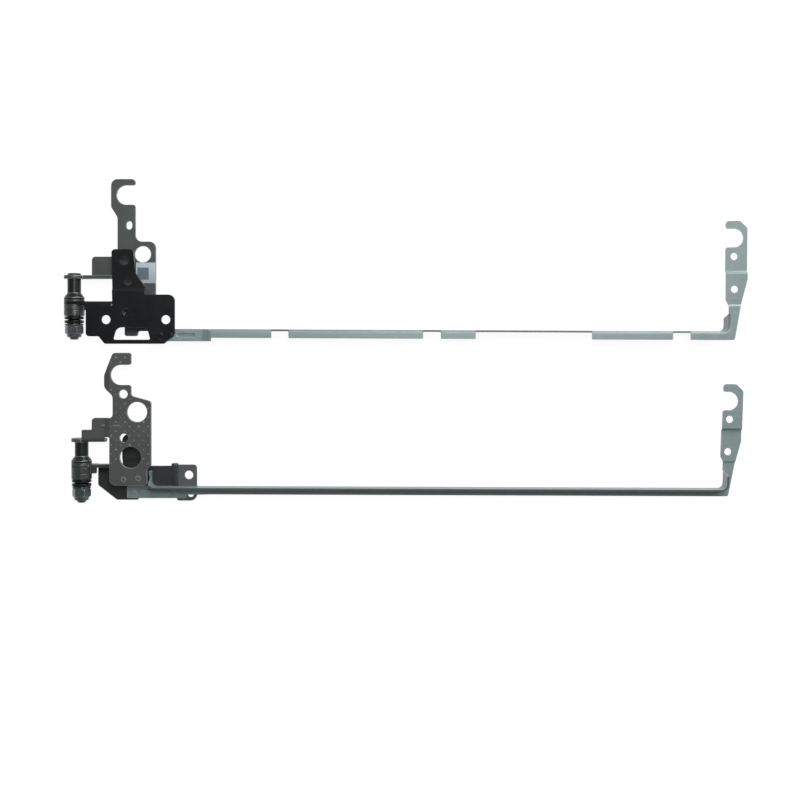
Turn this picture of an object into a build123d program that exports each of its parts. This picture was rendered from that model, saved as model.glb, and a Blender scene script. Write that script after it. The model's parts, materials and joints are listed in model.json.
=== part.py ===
"""Left and right laptop hinges with their display side rails, folded flat and laid one beside the other.

Lengths are millimetres. Each hinge is drawn in its own frame: x runs from the shaft's axis along the rail,
y runs along the shaft from the base ear's inner face towards the hook, and z runs from the base bracket's
outer face up to the lid bracket's outer face. The left hinge lies on its base bracket, the right hinge is
the other way up and lies on its lid bracket and rail.
"""

import os
from typing import NamedTuple

from build123d import *

# Sheet metal
base_sheet = 1.2
lid_sheet = 1.0
rail_sheet = 0.6
bend_radius = 0.5
small_corner = 0.4
plate_corner = 1.2
wide_corner = 2.2

# Shaft and the friction stack on it, in order from the base ear to the nut
rivet_head_diameter = 4.4
rivet_head_height = 0.7
rivet_neck_diameter = 3.0
shaft_diameter = 4.5
shaft_length = 4.8
cone_length = 1.5
collar_diameter = 6.8
collar_length = 0.8
thrust_washer_thickness = 0.5
journal_diameter = 3.6
disc_diameter = 6.8
friction_disc_thickness = 2.0
pressure_disc_thickness = 1.9
key_flats = 3.1
spring_count = 4
spring_diameter = 6.5
spring_sheet = 0.4
spring_dish = 0.25
end_washer_diameter = 6.2
end_washer_thickness = 0.6
nut_flats = 5.5
nut_height = 4.0
nut_hex_height = 2.9
nut_collar_diameter = 4.8
nut_chamfer = 0.45
thread_diameter = 3.0
thread_end = 0.8
disc_edge = 0.2

# Lug that keys the friction disc to the lid ear
lug_reach = 4.9
lug_width = 2.4
lug_pin_diameter = 1.0
lug_pin_length = 0.8

# Fits and margins
running_clearance = 0.05
seat_clearance = 0.02
stack_margin = 0.35
plate_gap = 0.5
strap_relief = 0.4
left_leg_clearance = 0.9
right_leg_clearance = 0.0

# Left base bracket
left_hook_left = 11.8
left_hook_top = 34.0
left_hook_x = 17.0
left_hook_y = 28.6
left_hook_radius = 3.3
left_hook_foot = 24.5
left_neck_left = 14.0
left_neck_right = 20.1
left_neck_top = 21.0
left_shoulder = 12.8
left_plate_right = 27.0
left_plate_bottom = -17.6
left_plate_heel = -13.0
left_tongue_left = 16.4
left_tongue_right = 20.9
left_tongue_bottom = -19.3
left_tab_left = 5.3
left_tab_top = 7.7
left_ear_end = 12.6
left_boss_hole_x = 22.6
left_boss_hole_y = 8.5
left_boss_hole_radius = 2.75
left_peg_slot_x = 18.0
left_peg_slot_y = 18.3
left_peg_slot_width = 2.0
left_peg_slot_length = 2.8

# Label on the left base bracket
label_width = 6.6
label_height = 7.0
label_thickness = 0.1
label_edge_gap = 0.1

# Left lid bracket
left_lid_left = 4.7
left_lid_top = -5.4
left_lid_right = 34.5
left_lid_right_bottom = -18.6
left_lid_bottom = -21.9
left_lid_bottom_left = 11.0
left_lid_bottom_right = 31.0
left_lid_step_left = 9.0
left_lid_step_bottom = -19.4
left_strap_left = 13.6
left_strap_tip_left = 13.1
left_strap_right = 20.5
left_strap_top = 9.85
left_strap_waist_x = 21.2
left_strap_waist_y = 1.8
left_strap_foot_x = 24.5
left_strap_foot_y = -2.9
left_lid_screw_y = -13.8
left_lid_screw_near = 11.5
left_lid_screw_far = 31.5
left_lid_screw_radius = 1.5
left_strap_hole_x = 17.5
left_strap_hole_y = 6.0
left_strap_hole_radius = 1.45
left_lower_hole_x = 18.8
left_lower_hole_y = -1.0
left_lower_hole_radius = 1.25
left_dish_x = 18.2
left_dish_y = -11.3
left_dish_radius = 1.15
left_dish_depth = 0.6
window_left = 13.9
window_right = 26.3
window_bottom = -20.5
window_top = -16.4
window_slant = 1.1
strap_step = 0.8
strap_step_run = 1.0
left_strap_step_y = -4.2

# Right base bracket
right_hook_left = 8.15
right_hook_bend = 22.5
right_hook_crown = 11.3
right_hook_top = 30.0
right_hook_x = 13.9
right_hook_y = 22.6
right_hook_radius = 3.35
right_hook_foot = 18.3
right_neck_left = 11.2
right_neck_right = 17.4
right_neck_top = 15.6
right_shoulder_drop = 1.8
right_plate_right = 24.1
right_plate_step_y = -7.6
right_plate_lower_right = 22.7
right_plate_bottom = -14.4
right_plate_left = 10.1
right_tab_left = 4.0
right_tab_top = 8.2
right_tab_toe = 0.6
right_tab_toe_top = 4.2
right_ear_end = 8.3
right_tab_step = 0.9
right_tab_step_run = 1.8
right_boss_hole_x = 19.4
right_boss_hole_y = 10.2
right_boss_hole_radius = 3.35
right_window_hole_x = 17.2
right_window_hole_y = -5.0
right_window_hole_radius = 3.6
right_peg_hole_radius = 1.45
right_upper_peg_x = 14.8
right_upper_peg_y = 16.2
right_lower_peg_x = 15.0
right_lower_peg_y = 1.5

# Right lid bracket
right_lid_left = 4.9
right_lid_left_bottom = -14.9
right_lid_toe_left = 11.3
right_lid_toe_right = 18.3
right_lid_toe_bottom = -19.9
right_lid_waist_left = 19.4
right_lid_waist_right = 31.6
right_lid_waist_bottom = -18.7
right_lid_right = 38.4
right_lid_right_top = -8.0
right_lid_right_bottom = -20.2
right_lid_shoulder = -8.4
right_rib_left = 29.8
right_rib_right = 31.9
right_rib_top = -7.5
right_rib_bottom = -14.4
right_strap_left = 13.2
right_strap_right = 21.0
right_strap_top = 2.4
right_strap_step_y = -6.8
right_lid_screw_x = 35.7
right_lid_screw_y = -11.5
right_lid_screw_radius = 1.45
right_lid_peg_x = 36.3
right_lid_peg_y = -18.0
right_lid_peg_radius = 1.05
rib_height = 0.45
rib_margin = 0.25

# Rails, the same for both hands unless a hand is named
rail_width = 2.95
rail_bend = 1.0
rail_corner = 1.8
tab_width = 4.2
step_run = 3.0
wall_return = 5.8
wall_slant = 1.3
leg_return = 5.1
leg_notch_start = 0.7
leg_notch_y = 2.4
leg_notch_depth = 5.0
leg_tip_depth = 2.0
arm_bevel = 2.4
arm_hook_drop = 5.75
arm_hook_radius = 3.1
arm_upper_hole_drop = 11.95
arm_lower_hole_drop = 23.0
arm_hole_radius = 1.2
arm_waist = 1.0
arm_waist_y = 8.7
arm_waist_run = 1.9
arm_upper_step_y = 19.5
arm_upper_step = 1.0
arm_lower_step_y = 8.4
arm_lower_step = 0.4
arm_step_run = 0.6
arm_elbow_x = 5.0
arm_foot_x = 3.1
bead_width = 2.0
bead_height = 0.6
rivet_diameter = 1.8
left_rail_y = -16.85
left_rail_far_y = -17.7
left_rail_tab_start = 27.4
left_rail_tab_end = 46.6
left_arm_x = 218.75
left_arm_reach = 37.1
left_arm_lean = 0.4
left_arm_width = 7.3
left_arm_taper = 17.5
left_arm_hook_x = 2.85
left_arm_hole_x = 2.9
left_bead_start = 34.9
left_bead_end = 41.5
left_rivet_near = 29.6
left_rivet_far = 33.0
left_notches = ((66.8, 5.7), (117.6, 5.9), (135.2, 38.9), (201.2, 5.9))
right_rail_y = -15.1
right_rail_far_y = -15.85
right_rail_tab_start = 14.8
right_rail_tab_end = 35.0
right_rail_step_gap = 1.6
right_arm_x = 215.7
right_arm_reach = 35.25
right_arm_lean = 1.2
right_arm_width = 6.8
right_arm_taper = 15.65
right_arm_hook_x = 2.0
right_arm_hole_x = 2.45
right_bead_start = 18.6
right_bead_end = 29.4
right_rivet_near = 16.9
right_rivet_far = 32.6

# How the pair lies
pair_gap = 3.0
pair_shift = 2.5

# Values worked out from the sizes above
stack_height = disc_diameter + 2 * stack_margin
shaft_height = stack_height / 2
eye_radius = disc_diameter / 2
base_fold = base_sheet + bend_radius
collar_end = shaft_length + cone_length + collar_length
lid_ear_y = -(collar_end + thrust_washer_thickness)
lid_fold = lid_ear_y - lid_sheet - bend_radius
friction_start = lid_sheet - lid_ear_y
pressure_start = friction_start + friction_disc_thickness
spring_start = pressure_start + pressure_disc_thickness
spring_pitch = spring_sheet + spring_dish
end_washer_start = spring_start + spring_count * spring_pitch
nut_start = end_washer_start + end_washer_thickness
shaft_end = nut_start + nut_height + thread_end
tab_face = stack_height - lid_sheet
lug_pin_x = (eye_radius + lug_reach) / 2
left_leg_x = left_plate_right + left_leg_clearance
right_leg_x = right_plate_lower_right + right_leg_clearance
left_rail_step_end = left_rail_tab_end
right_rail_step_end = right_lid_right + right_rail_step_gap + step_run
beyond = left_arm_x + left_arm_width
upright = (Align.CENTER, Align.CENTER, Align.MIN)
hanging = (Align.CENTER, Align.CENTER, Align.MAX)


class Rail(NamedTuple):
    """Sizes of one hand's side rail. Lengths up the arm count from the rail, insets from the arm's left side."""

    near_y: float
    far_y: float
    tab_start: float
    tab_end: float
    step_end: float
    leg_x: float
    bead_start: float
    bead_end: float
    rivets: tuple
    notches: tuple
    arm_x: float
    arm_reach: float
    arm_lean: float
    arm_width: float
    arm_taper: float
    arm_hook_x: float
    arm_hole_x: float


left_rail = Rail(
    near_y=left_rail_y,
    far_y=left_rail_far_y,
    tab_start=left_rail_tab_start,
    tab_end=left_rail_tab_end,
    step_end=left_rail_step_end,
    leg_x=left_leg_x,
    bead_start=left_bead_start,
    bead_end=left_bead_end,
    rivets=(left_rivet_near, left_rivet_far),
    notches=left_notches,
    arm_x=left_arm_x,
    arm_reach=left_arm_reach,
    arm_lean=left_arm_lean,
    arm_width=left_arm_width,
    arm_taper=left_arm_taper,
    arm_hook_x=left_arm_hook_x,
    arm_hole_x=left_arm_hole_x,
)
right_rail = Rail(
    near_y=right_rail_y,
    far_y=right_rail_far_y,
    tab_start=right_rail_tab_start,
    tab_end=right_rail_tab_end,
    step_end=right_rail_step_end,
    leg_x=right_leg_x,
    bead_start=right_bead_start,
    bead_end=right_bead_end,
    rivets=(right_rivet_near, right_rivet_far),
    notches=(),
    arm_x=right_arm_x,
    arm_reach=right_arm_reach,
    arm_lean=right_arm_lean,
    arm_width=right_arm_width,
    arm_taper=right_arm_taper,
    arm_hook_x=right_arm_hook_x,
    arm_hole_x=right_arm_hole_x,
)


def outline(*corners):
    """Closed flat shape through corners given as x, y and corner radius."""
    points = [(x, y) for x, y, radius in corners]
    radii = [radius for x, y, radius in corners]
    return make_face(FilletPolyline(*points, radius=radii, close=True))


def box_face(x_start, y_start, x_end, y_end):
    """Rectangle between two opposite corners."""
    centre = Pos((x_start + x_end) / 2, (y_start + y_end) / 2)
    return centre * Rectangle(abs(x_end - x_start), abs(y_end - y_start))


def disc_at(x, y, radius):
    """Circle about a point."""
    return Pos(x, y) * Circle(radius)


def hook_slot(plate, x, y, radius, edge_x):
    """Cuts a round-ended screw slot that opens through the edge at edge_x, and rounds its two tips."""
    outside_x = 2 * edge_x - x
    cut = plate - (disc_at(x, y, radius) + box_face(x, y - radius, outside_x, y + radius))
    slot_corners = [vertex for vertex in cut.vertices() if abs(abs(vertex.Y - y) - radius) < seat_clearance]
    tips = [vertex for vertex in slot_corners if abs(vertex.X - edge_x) < abs(vertex.X - x)]
    return fillet(tips, 2 * small_corner)


def ribbon(upper_line, sheet):
    """Side view of a stepped sheet whose upper side follows a line of distance and height."""
    lower_line = [(distance, height - sheet) for distance, height in reversed(upper_line)]
    bends = [0] + [bend_radius] * (len(upper_line) - 2) + [0]
    corners = [(x, y, bend) for (x, y), bend in zip(upper_line + lower_line, bends + bends)]
    return outline(*corners)


def along_x(side_view):
    """Long prism along x from a shape drawn in y and z."""
    return extrude(Plane.YZ * side_view, amount=2 * beyond, both=True)


def along_y(side_view):
    """Long prism along y from a shape drawn in x and z."""
    return extrude(Plane.XZ * side_view, amount=2 * beyond, both=True)


def slab(face, bottom, top):
    """Upright prism of a flat shape between two heights."""
    return Pos(0, 0, bottom) * extrude(face, amount=top - bottom)


def ear(sheet, level, fold_start, fold_end, bar_top, hole_radius):
    """Folded ear: the shaft's eye on a bar that stands on a plate whose outer face is at the given level."""
    fold_line = sheet + bend_radius
    under_fold = box_face(fold_start, level - sheet, beyond, level + fold_line)
    wall_face = disc_at(0, shaft_height, eye_radius) + box_face(0, stack_margin, fold_end, bar_top)
    wall = Rot(90, 0, 0) * extrude(wall_face - under_fold, amount=-sheet)
    quarter = (Circle(fold_line) - Circle(bend_radius)) & box_face(-fold_line, -fold_line, 0, 0)
    fold = extrude(Plane.YZ * (Pos(fold_line, level + fold_line) * quarter), amount=fold_end - fold_start)
    hole = Rot(90, 0, 0) * Pos(0, shaft_height) * Cylinder(hole_radius, 4 * fold_line)
    return wall + Pos(fold_start, 0, 0) * fold - hole


def base_ear(level, fold_start, fold_end):
    """Ear of a base bracket, with the hole that the shaft's neck is riveted into."""
    bar_top = stack_height - lid_sheet - strap_step - plate_gap
    return ear(base_sheet, level, fold_start, fold_end, bar_top, rivet_neck_diameter / 2 + seat_clearance)


def lid_ear(fold_start, fold_end):
    """Ear of a lid bracket, hanging from the lid plate, with the hole for the friction disc's key."""
    bar_top = stack_height - base_sheet - plate_gap
    bracket_ear = ear(lid_sheet, 0, fold_start, fold_end, bar_top, journal_diameter / 2 + running_clearance)
    key_radius = lug_pin_diameter / 2 + seat_clearance
    key_hole = Rot(90, 0, 0) * Pos(lug_pin_x, shaft_height) * Cylinder(key_radius, 3 * lid_sheet)
    return Pos(0, lid_ear_y, stack_height) * Rot(180, 0, 0) * (bracket_ear - key_hole)


def on_shaft(piece, start):
    """Lays a piece built upwards from z = 0 along the shaft, starting at a distance from the base ear."""
    return Pos(0, -start, shaft_height) * Rot(90, 0, 0) * piece


def round_bar(radius, start, end):
    """Cylinder on the shaft's own axis between two distances from the base ear."""
    return Pos(0, 0, start) * Cylinder(radius, end - start, align=upright)


def hinge_shaft():
    """Turned shaft with a riveted neck, a conical collar, a flatted key part and a threaded end."""
    cone = Pos(0, 0, shaft_length) * Cone(shaft_diameter / 2, collar_diameter / 2, cone_length, align=upright)
    key_length = nut_start - pressure_start
    key = Pos(0, 0, pressure_start) * Box(disc_diameter, key_flats, key_length, align=upright)
    thread = round_bar(thread_diameter / 2, nut_start, shaft_end)
    thread = chamfer(thread.faces().sort_by(Axis.Z)[-1].edges(), thread_end / 2)
    bar = round_bar(rivet_neck_diameter / 2, -base_sheet, 0)
    bar += round_bar(shaft_diameter / 2, 0, shaft_length) + cone
    bar += round_bar(collar_diameter / 2, shaft_length + cone_length, collar_end)
    bar += round_bar(journal_diameter / 2, collar_end, pressure_start)
    bar += round_bar(journal_diameter / 2, pressure_start, nut_start) & key
    return on_shaft(bar + thread, 0)


def rivet_head():
    """Round head left by riveting the shaft's neck over the outside of the base ear."""
    head = round_bar(rivet_head_diameter / 2, -base_sheet - rivet_head_height, -base_sheet)
    return on_shaft(fillet(head.faces().sort_by(Axis.Z)[0].edges(), rivet_head_height / 2), 0)


def washer(outer_diameter, thickness, hole):
    """Flat round washer with softened rims and the given hole."""
    blank = Cylinder(outer_diameter / 2, thickness, align=upright)
    blank = fillet(blank.edges(), disc_edge)
    return blank - slab(hole, 0, thickness)


def friction_disc():
    """Thick disc that turns with the lid, with a lug whose pin sits in the lid ear."""
    hole = Circle(journal_diameter / 2 + running_clearance)
    disc = washer(disc_diameter, friction_disc_thickness, hole)
    lug_face = box_face(0, -lug_width / 2, lug_reach, lug_width / 2) - hole
    lug = slab(lug_face, 0, friction_disc_thickness)
    pin_radius = lug_pin_diameter / 2
    pin = slab(disc_at(lug_pin_x, 0, pin_radius), -lug_pin_length, friction_disc_thickness / 2)
    return on_shaft(disc + lug + pin, friction_start)


def pressure_disc():
    """Thick disc keyed to the shaft's flats."""
    key_hole = Circle(journal_diameter / 2 + seat_clearance) & Rectangle(
        disc_diameter, key_flats + 2 * seat_clearance
    )
    return on_shaft(washer(disc_diameter, pressure_disc_thickness, key_hole), pressure_start)


def spring_washer(index):
    """Dished spring washer; neighbours face opposite ways."""
    inner = journal_diameter / 2 + seat_clearance
    outer = spring_diameter / 2
    inner_rise, outer_rise = (0, spring_dish) if index % 2 == 0 else (spring_dish, 0)
    section = Polyline(
        (inner, inner_rise),
        (outer, outer_rise),
        (outer, outer_rise + spring_sheet),
        (inner, inner_rise + spring_sheet),
        close=True,
    )
    ring = revolve(Plane.XZ * make_face(section), axis=Axis.Z)
    return on_shaft(ring, spring_start + index * spring_pitch)


def lock_nut():
    """Hexagonal nut with its corners turned down and a round locking collar at its outer end."""
    hexagon = slab(RegularPolygon(nut_flats / 2, 6, major_radius=False), 0, nut_hex_height)
    corner_radius = nut_flats / 3**0.5
    turned = Cylinder(corner_radius, nut_hex_height, align=upright)
    turned = chamfer(turned.edges(), nut_chamfer)
    collar = Cylinder(nut_collar_diameter / 2, nut_height, align=upright)
    collar = fillet(collar.faces().sort_by(Axis.Z)[-1].edges(), nut_chamfer)
    bore = Cylinder(thread_diameter / 2 + seat_clearance, 3 * nut_height)
    return on_shaft((hexagon & turned) + collar - bore, nut_start)


def left_base_bracket():
    """Flat left base plate with its hook, boss hole, peg slot and shaft ear."""
    flat = outline(
        (left_hook_left, left_hook_top, wide_corner),
        (left_neck_right, left_hook_top, plate_corner),
        (left_neck_right, left_shoulder, wide_corner),
        (left_plate_right, left_shoulder, wide_corner),
        (left_plate_right, left_plate_bottom, wide_corner),
        (left_tongue_right, left_plate_bottom, 2 * small_corner),
        (left_tongue_right, left_tongue_bottom, 2 * small_corner),
        (left_tongue_left, left_tongue_bottom, 2 * small_corner),
        (left_tongue_left, left_plate_heel, plate_corner),
        (left_neck_left, left_plate_heel, plate_corner),
        (left_neck_left, base_fold, small_corner),
        (left_tab_left, base_fold, 0),
        (left_tab_left, left_tab_top, plate_corner),
        (left_neck_left, left_tab_top, small_corner),
        (left_neck_left, left_neck_top, wide_corner),
        (left_hook_left, left_hook_foot, wide_corner),
    )
    flat = hook_slot(flat, left_hook_x, left_hook_y, left_hook_radius, left_neck_right)
    peg_slot = SlotOverall(left_peg_slot_length, left_peg_slot_width, rotation=90)
    flat -= Pos(left_peg_slot_x, left_peg_slot_y) * peg_slot
    flat -= disc_at(left_boss_hole_x, left_boss_hole_y, left_boss_hole_radius)
    return slab(flat, 0, base_sheet) + base_ear(0, left_tab_left, left_ear_end)


def right_base_bracket():
    """Right base plate with its hook and holes, and a tab stepped inwards that carries the shaft ear."""
    step_x_run = right_plate_right - right_plate_lower_right
    flat = outline(
        (right_hook_crown, right_hook_top, plate_corner),
        (right_neck_right, right_hook_top, 2 * small_corner),
        (right_neck_right, right_neck_top, plate_corner),
        (right_plate_right, right_neck_top - right_shoulder_drop, plate_corner),
        (right_plate_right, right_plate_step_y, 2 * small_corner),
        (right_plate_lower_right, right_plate_step_y - step_x_run, small_corner),
        (right_plate_lower_right, right_plate_bottom, plate_corner),
        (right_plate_left, right_plate_bottom, wide_corner),
        (right_plate_left, base_fold, small_corner),
        (right_tab_toe, base_fold, 0),
        (right_tab_toe, right_tab_toe_top, small_corner),
        (right_tab_left, right_tab_toe_top, small_corner),
        (right_tab_left, right_tab_top, plate_corner),
        (right_neck_left, right_tab_top, plate_corner),
        (right_neck_left, right_neck_top, wide_corner),
        (right_hook_left, right_hook_foot, wide_corner),
        (right_hook_left, right_hook_bend, wide_corner),
    )
    flat = hook_slot(flat, right_hook_x, right_hook_y, right_hook_radius, right_neck_right)
    flat -= disc_at(right_boss_hole_x, right_boss_hole_y, right_boss_hole_radius)
    flat -= disc_at(right_window_hole_x, right_window_hole_y, right_window_hole_radius)
    flat -= disc_at(right_upper_peg_x, right_upper_peg_y, right_peg_hole_radius)
    flat -= disc_at(right_lower_peg_x, right_lower_peg_y, right_peg_hole_radius)
    step_start = right_ear_end
    stepped = ribbon(
        [
            (-beyond, base_sheet + right_tab_step),
            (step_start, base_sheet + right_tab_step),
            (step_start + right_tab_step_run, base_sheet),
            (beyond, base_sheet),
        ],
        base_sheet,
    )
    plate = slab(flat, 0, stack_height) & along_y(stepped)
    return plate + base_ear(right_tab_step, right_tab_toe, right_ear_end)


def lid_plate(flat, step_y):
    """Lid sheet at its height, with the strap beyond step_y stepped towards the base bracket."""
    stepped = ribbon(
        [
            (-beyond, stack_height),
            (step_y, stack_height),
            (step_y + strap_step_run, stack_height - strap_step),
            (beyond, stack_height - strap_step),
        ],
        lid_sheet,
    )
    return slab(flat, 0, stack_height) & along_x(stepped)


def rivet_faces(rail, radius):
    """Discs where rivets hold a rail's tab under its lid bracket."""
    return [disc_at(x, rail.near_y - tab_width / 2, radius) for x in rail.rivets]


def rivet_holes(rail):
    """Flat holes for a rail's rivets."""
    return Sketch() + rivet_faces(rail, rivet_diameter / 2 + seat_clearance)


def pressed_dish(radius, depth, sheet):
    """What a round dish adds and takes when pressed down into a sheet whose upper face is at z = 0."""
    curve = (radius**2 + depth**2) / (2 * depth)
    centre = Pos(0, 0, curve - depth)
    reach = 2 * (curve + sheet)
    bulge = centre * Sphere(curve + sheet) & Pos(0, 0, -sheet / 2) * Box(reach, reach, reach, align=hanging)
    return bulge, centre * Sphere(curve)


def left_lid_bracket():
    """Left lid plate with its strap, screw holes, arched window, pressed dish and shaft ear."""
    flat = outline(
        (left_strap_tip_left, left_strap_top, plate_corner),
        (left_strap_right, left_strap_top, plate_corner),
        (left_strap_waist_x, left_strap_waist_y, wide_corner),
        (left_strap_foot_x, left_strap_foot_y, small_corner),
        (left_strap_foot_x, left_lid_top + small_corner, 0),
        (left_strap_foot_x + small_corner, left_lid_top, 0),
        (left_lid_right, left_lid_top, wide_corner),
        (left_lid_right, left_lid_right_bottom, plate_corner),
        (left_lid_bottom_right, left_lid_bottom, plate_corner),
        (left_lid_bottom_left, left_lid_bottom, plate_corner),
        (left_lid_step_left, left_lid_step_bottom, small_corner),
        (left_lid_left, left_lid_step_bottom, plate_corner),
        (left_lid_left, lid_fold, 0),
        (left_strap_left, lid_fold, small_corner),
    )
    flat -= outline(
        (window_left, window_bottom, small_corner),
        (window_left + window_slant, window_top, wide_corner),
        (window_right - window_slant, window_top, wide_corner),
        (window_right, window_bottom, small_corner),
    )
    for screw_x in (left_lid_screw_near, left_lid_screw_far):
        flat -= disc_at(screw_x, left_lid_screw_y, left_lid_screw_radius)
    flat -= disc_at(left_strap_hole_x, left_strap_hole_y, left_strap_hole_radius)
    flat -= disc_at(left_lower_hole_x, left_lower_hole_y, left_lower_hole_radius)
    flat -= rivet_holes(left_rail)
    bulge, hollow = pressed_dish(left_dish_radius, left_dish_depth, lid_sheet)
    dish_place = Pos(left_dish_x, left_dish_y, stack_height)
    plate = lid_plate(flat, left_strap_step_y) + dish_place * bulge - dish_place * hollow
    return plate + lid_ear(left_lid_left, left_strap_left - strap_relief)


def pressed_rib(length, width, height, sheet):
    """What a round-ended rib adds and takes when pressed down out of a sheet whose upper face is at z = 0."""
    crown = Pos(0, 0, -sheet - height) * extrude(SlotOverall(length, width), amount=height + sheet / 2)
    crown = fillet(crown.faces().sort_by(Axis.Z)[0].edges(), 0.9 * height)
    groove = Pos(0, 0, -height) * extrude(SlotOverall(length - sheet, width - sheet), amount=2 * height)
    return crown, groove


def right_lid_bracket():
    """Right lid plate with its strap, screw ear behind a pressed rib, and shaft ear."""
    flat = outline(
        (right_strap_left, right_strap_top, wide_corner),
        (right_strap_right, right_strap_top, plate_corner),
        (right_strap_right, right_lid_shoulder, plate_corner),
        (right_rib_left, right_lid_shoulder, small_corner),
        (right_rib_left, right_rib_top, small_corner),
        (right_rib_right, right_rib_top, small_corner / 2),
        (right_rib_right, right_lid_right_top, small_corner / 2),
        (right_lid_right, right_lid_right_top, plate_corner),
        (right_lid_right, right_lid_right_bottom, wide_corner),
        (right_lid_waist_right, right_lid_right_bottom, 2 * small_corner),
        (right_lid_waist_right, right_lid_waist_bottom, small_corner),
        (right_lid_waist_left, right_lid_waist_bottom, small_corner),
        (right_lid_toe_right, right_lid_toe_bottom, small_corner),
        (right_lid_toe_left, right_lid_toe_bottom, plate_corner),
        (right_lid_left, right_lid_left_bottom, plate_corner),
        (right_lid_left, lid_fold, 0),
        (right_strap_left, lid_fold, small_corner),
    )
    flat -= disc_at(right_lid_screw_x, right_lid_screw_y, right_lid_screw_radius)
    flat -= disc_at(right_lid_peg_x, right_lid_peg_y, right_lid_peg_radius)
    flat -= rivet_holes(right_rail)
    rib_length = right_rib_top - right_rib_bottom - 2 * rib_margin
    rib_width = right_rib_right - right_rib_left - 2 * rib_margin
    crown, groove = pressed_rib(rib_length, rib_width, rib_height, lid_sheet)
    rib_x = (right_rib_left + right_rib_right) / 2
    rib_y = (right_rib_top + right_rib_bottom) / 2
    rib_place = Pos(rib_x, rib_y, stack_height) * Rot(0, 0, 90)
    plate = lid_plate(flat, right_strap_step_y) + rib_place * crown - rib_place * groove
    return plate + lid_ear(right_lid_left, right_strap_left - strap_relief)


def rail_side(rail, x):
    """Inner side of a rail, which runs straight from its tab to its arm, at a distance along it."""
    share = (x - rail.tab_start) / (rail.arm_x - rail.tab_start)
    return rail.near_y + share * (rail.far_y - rail.near_y)


def arm_point(rail, up, inset):
    """Point at a distance up a rail's leaning arm and an inset from the arm's left side."""
    x = rail.arm_x + rail.arm_lean * up / rail.arm_reach + inset
    return x, rail_side(rail, x) + up


def arm_corners(rail, corners):
    """Corners for an outline from distances up an arm, insets from its left side and radii."""
    return [(*arm_point(rail, up, inset), radius) for up, inset, radius in corners]


def rail_arm(rail):
    """End arm of a rail: a tapered strip that steps down twice, with a hook slot and two screw holes."""
    edge = [
        (rail.arm_reach, 0, plate_corner),
        (rail.arm_reach, rail.arm_width - arm_bevel, plate_corner),
        (rail.arm_reach - arm_bevel, rail.arm_width, plate_corner),
        (rail.arm_taper, rail.arm_width, wide_corner),
        (arm_lower_step_y, arm_elbow_x, wide_corner),
        (-rail_width, arm_foot_x, 2 * small_corner),
        (-rail_width, -rail_corner, 0),
        (0, -rail_corner, 0),
        (0, arm_waist, rail_corner),
        (arm_waist_y, arm_waist, plate_corner),
        (arm_waist_y + arm_waist_run, 0, plate_corner),
    ]
    strip = outline(*arm_corners(rail, edge))
    hook_x, hook_y = arm_point(rail, rail.arm_reach - arm_hook_drop, rail.arm_hook_x)
    strip = hook_slot(strip, hook_x, hook_y, arm_hook_radius, hook_x - rail.arm_hook_x)
    for drop in (arm_upper_hole_drop, arm_lower_hole_drop):
        strip -= disc_at(*arm_point(rail, rail.arm_reach - drop, rail.arm_hole_x), arm_hole_radius)
    middle_face = stack_height - arm_lower_step
    upper_face = middle_face - arm_upper_step
    arm_line = [
        (-beyond, stack_height),
        (rail.far_y + arm_lower_step_y, stack_height),
        (rail.far_y + arm_lower_step_y + arm_step_run, middle_face),
        (rail.far_y + arm_upper_step_y, middle_face),
        (rail.far_y + arm_upper_step_y + arm_step_run, upper_face),
        (beyond, upper_face),
    ]
    return slab(strip, 0, stack_height) & along_x(ribbon(arm_line, rail_sheet))


def end_cut(x, y, side_view):
    """Prism along x from a shape drawn in y and z, kept to the turned-up end of a wall near a point."""
    about_end = box_face(x - rail_corner, y, x + 3 * rail_corner, y + 2 * wall_return)
    return along_x(side_view) & slab(about_end, 0, stack_height)


def rail_wall(rail):
    """Upright wall of a rail, turned up at both ends, with its free edge cut back at the arm and the leg."""
    outer_corner = rail_corner + rail_sheet
    leg_inner = rail.leg_x + rail_sheet
    arm_end = [
        (-rail_sheet, arm_waist + rail_sheet, outer_corner),
        (wall_return, arm_waist + rail_sheet, 0),
        (wall_return, arm_waist, 0),
        (0, arm_waist, rail_corner),
    ]
    plan = outline(
        (rail.leg_x, rail.near_y + leg_return, 0),
        (rail.leg_x, rail_side(rail, rail.leg_x) - rail_sheet, outer_corner),
        *arm_corners(rail, arm_end),
        (leg_inner, rail_side(rail, leg_inner), rail_corner),
        (leg_inner, rail.near_y + leg_return, 0),
    )
    arm_slant = outline(
        (rail.far_y + wall_return - wall_slant, 0, 0),
        (rail.far_y + wall_return, stack_height - rail_sheet, 0),
        (rail.far_y + 2 * wall_return, stack_height - rail_sheet, 0),
        (rail.far_y + 2 * wall_return, 0, 0),
    )
    leg_notch = outline(
        (rail.near_y + leg_notch_start, 0, 0),
        (rail.near_y + leg_notch_y, leg_notch_depth, small_corner),
        (rail.near_y + wall_return, leg_tip_depth, 0),
        (rail.near_y + wall_return, 0, 0),
    )
    wall = slab(plan, 0, stack_height)
    wall -= end_cut(rail.arm_x, rail.far_y, arm_slant)
    return wall - end_cut(rail.leg_x, rail.near_y, leg_notch)


def bend_waste(rail, start):
    """What rounding the bend takes away, from a start along the wall and round the corner of the arm."""
    start_y = rail_side(rail, start)
    path = FilletPolyline(
        (start, start_y, stack_height),
        (*arm_point(rail, 0, arm_waist), stack_height),
        (*arm_point(rail, wall_return, arm_waist), stack_height),
        radius=rail_corner,
    )
    across = Plane(origin=(start, start_y, stack_height), x_dir=(0, 1, 0), z_dir=(1, 0, 0))
    square = box_face(-rail_bend, -rail_bend, rail_bend, rail_bend)
    section = square - disc_at(-rail_bend, -rail_bend, rail_bend)
    return sweep(across * section, path=path)


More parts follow.
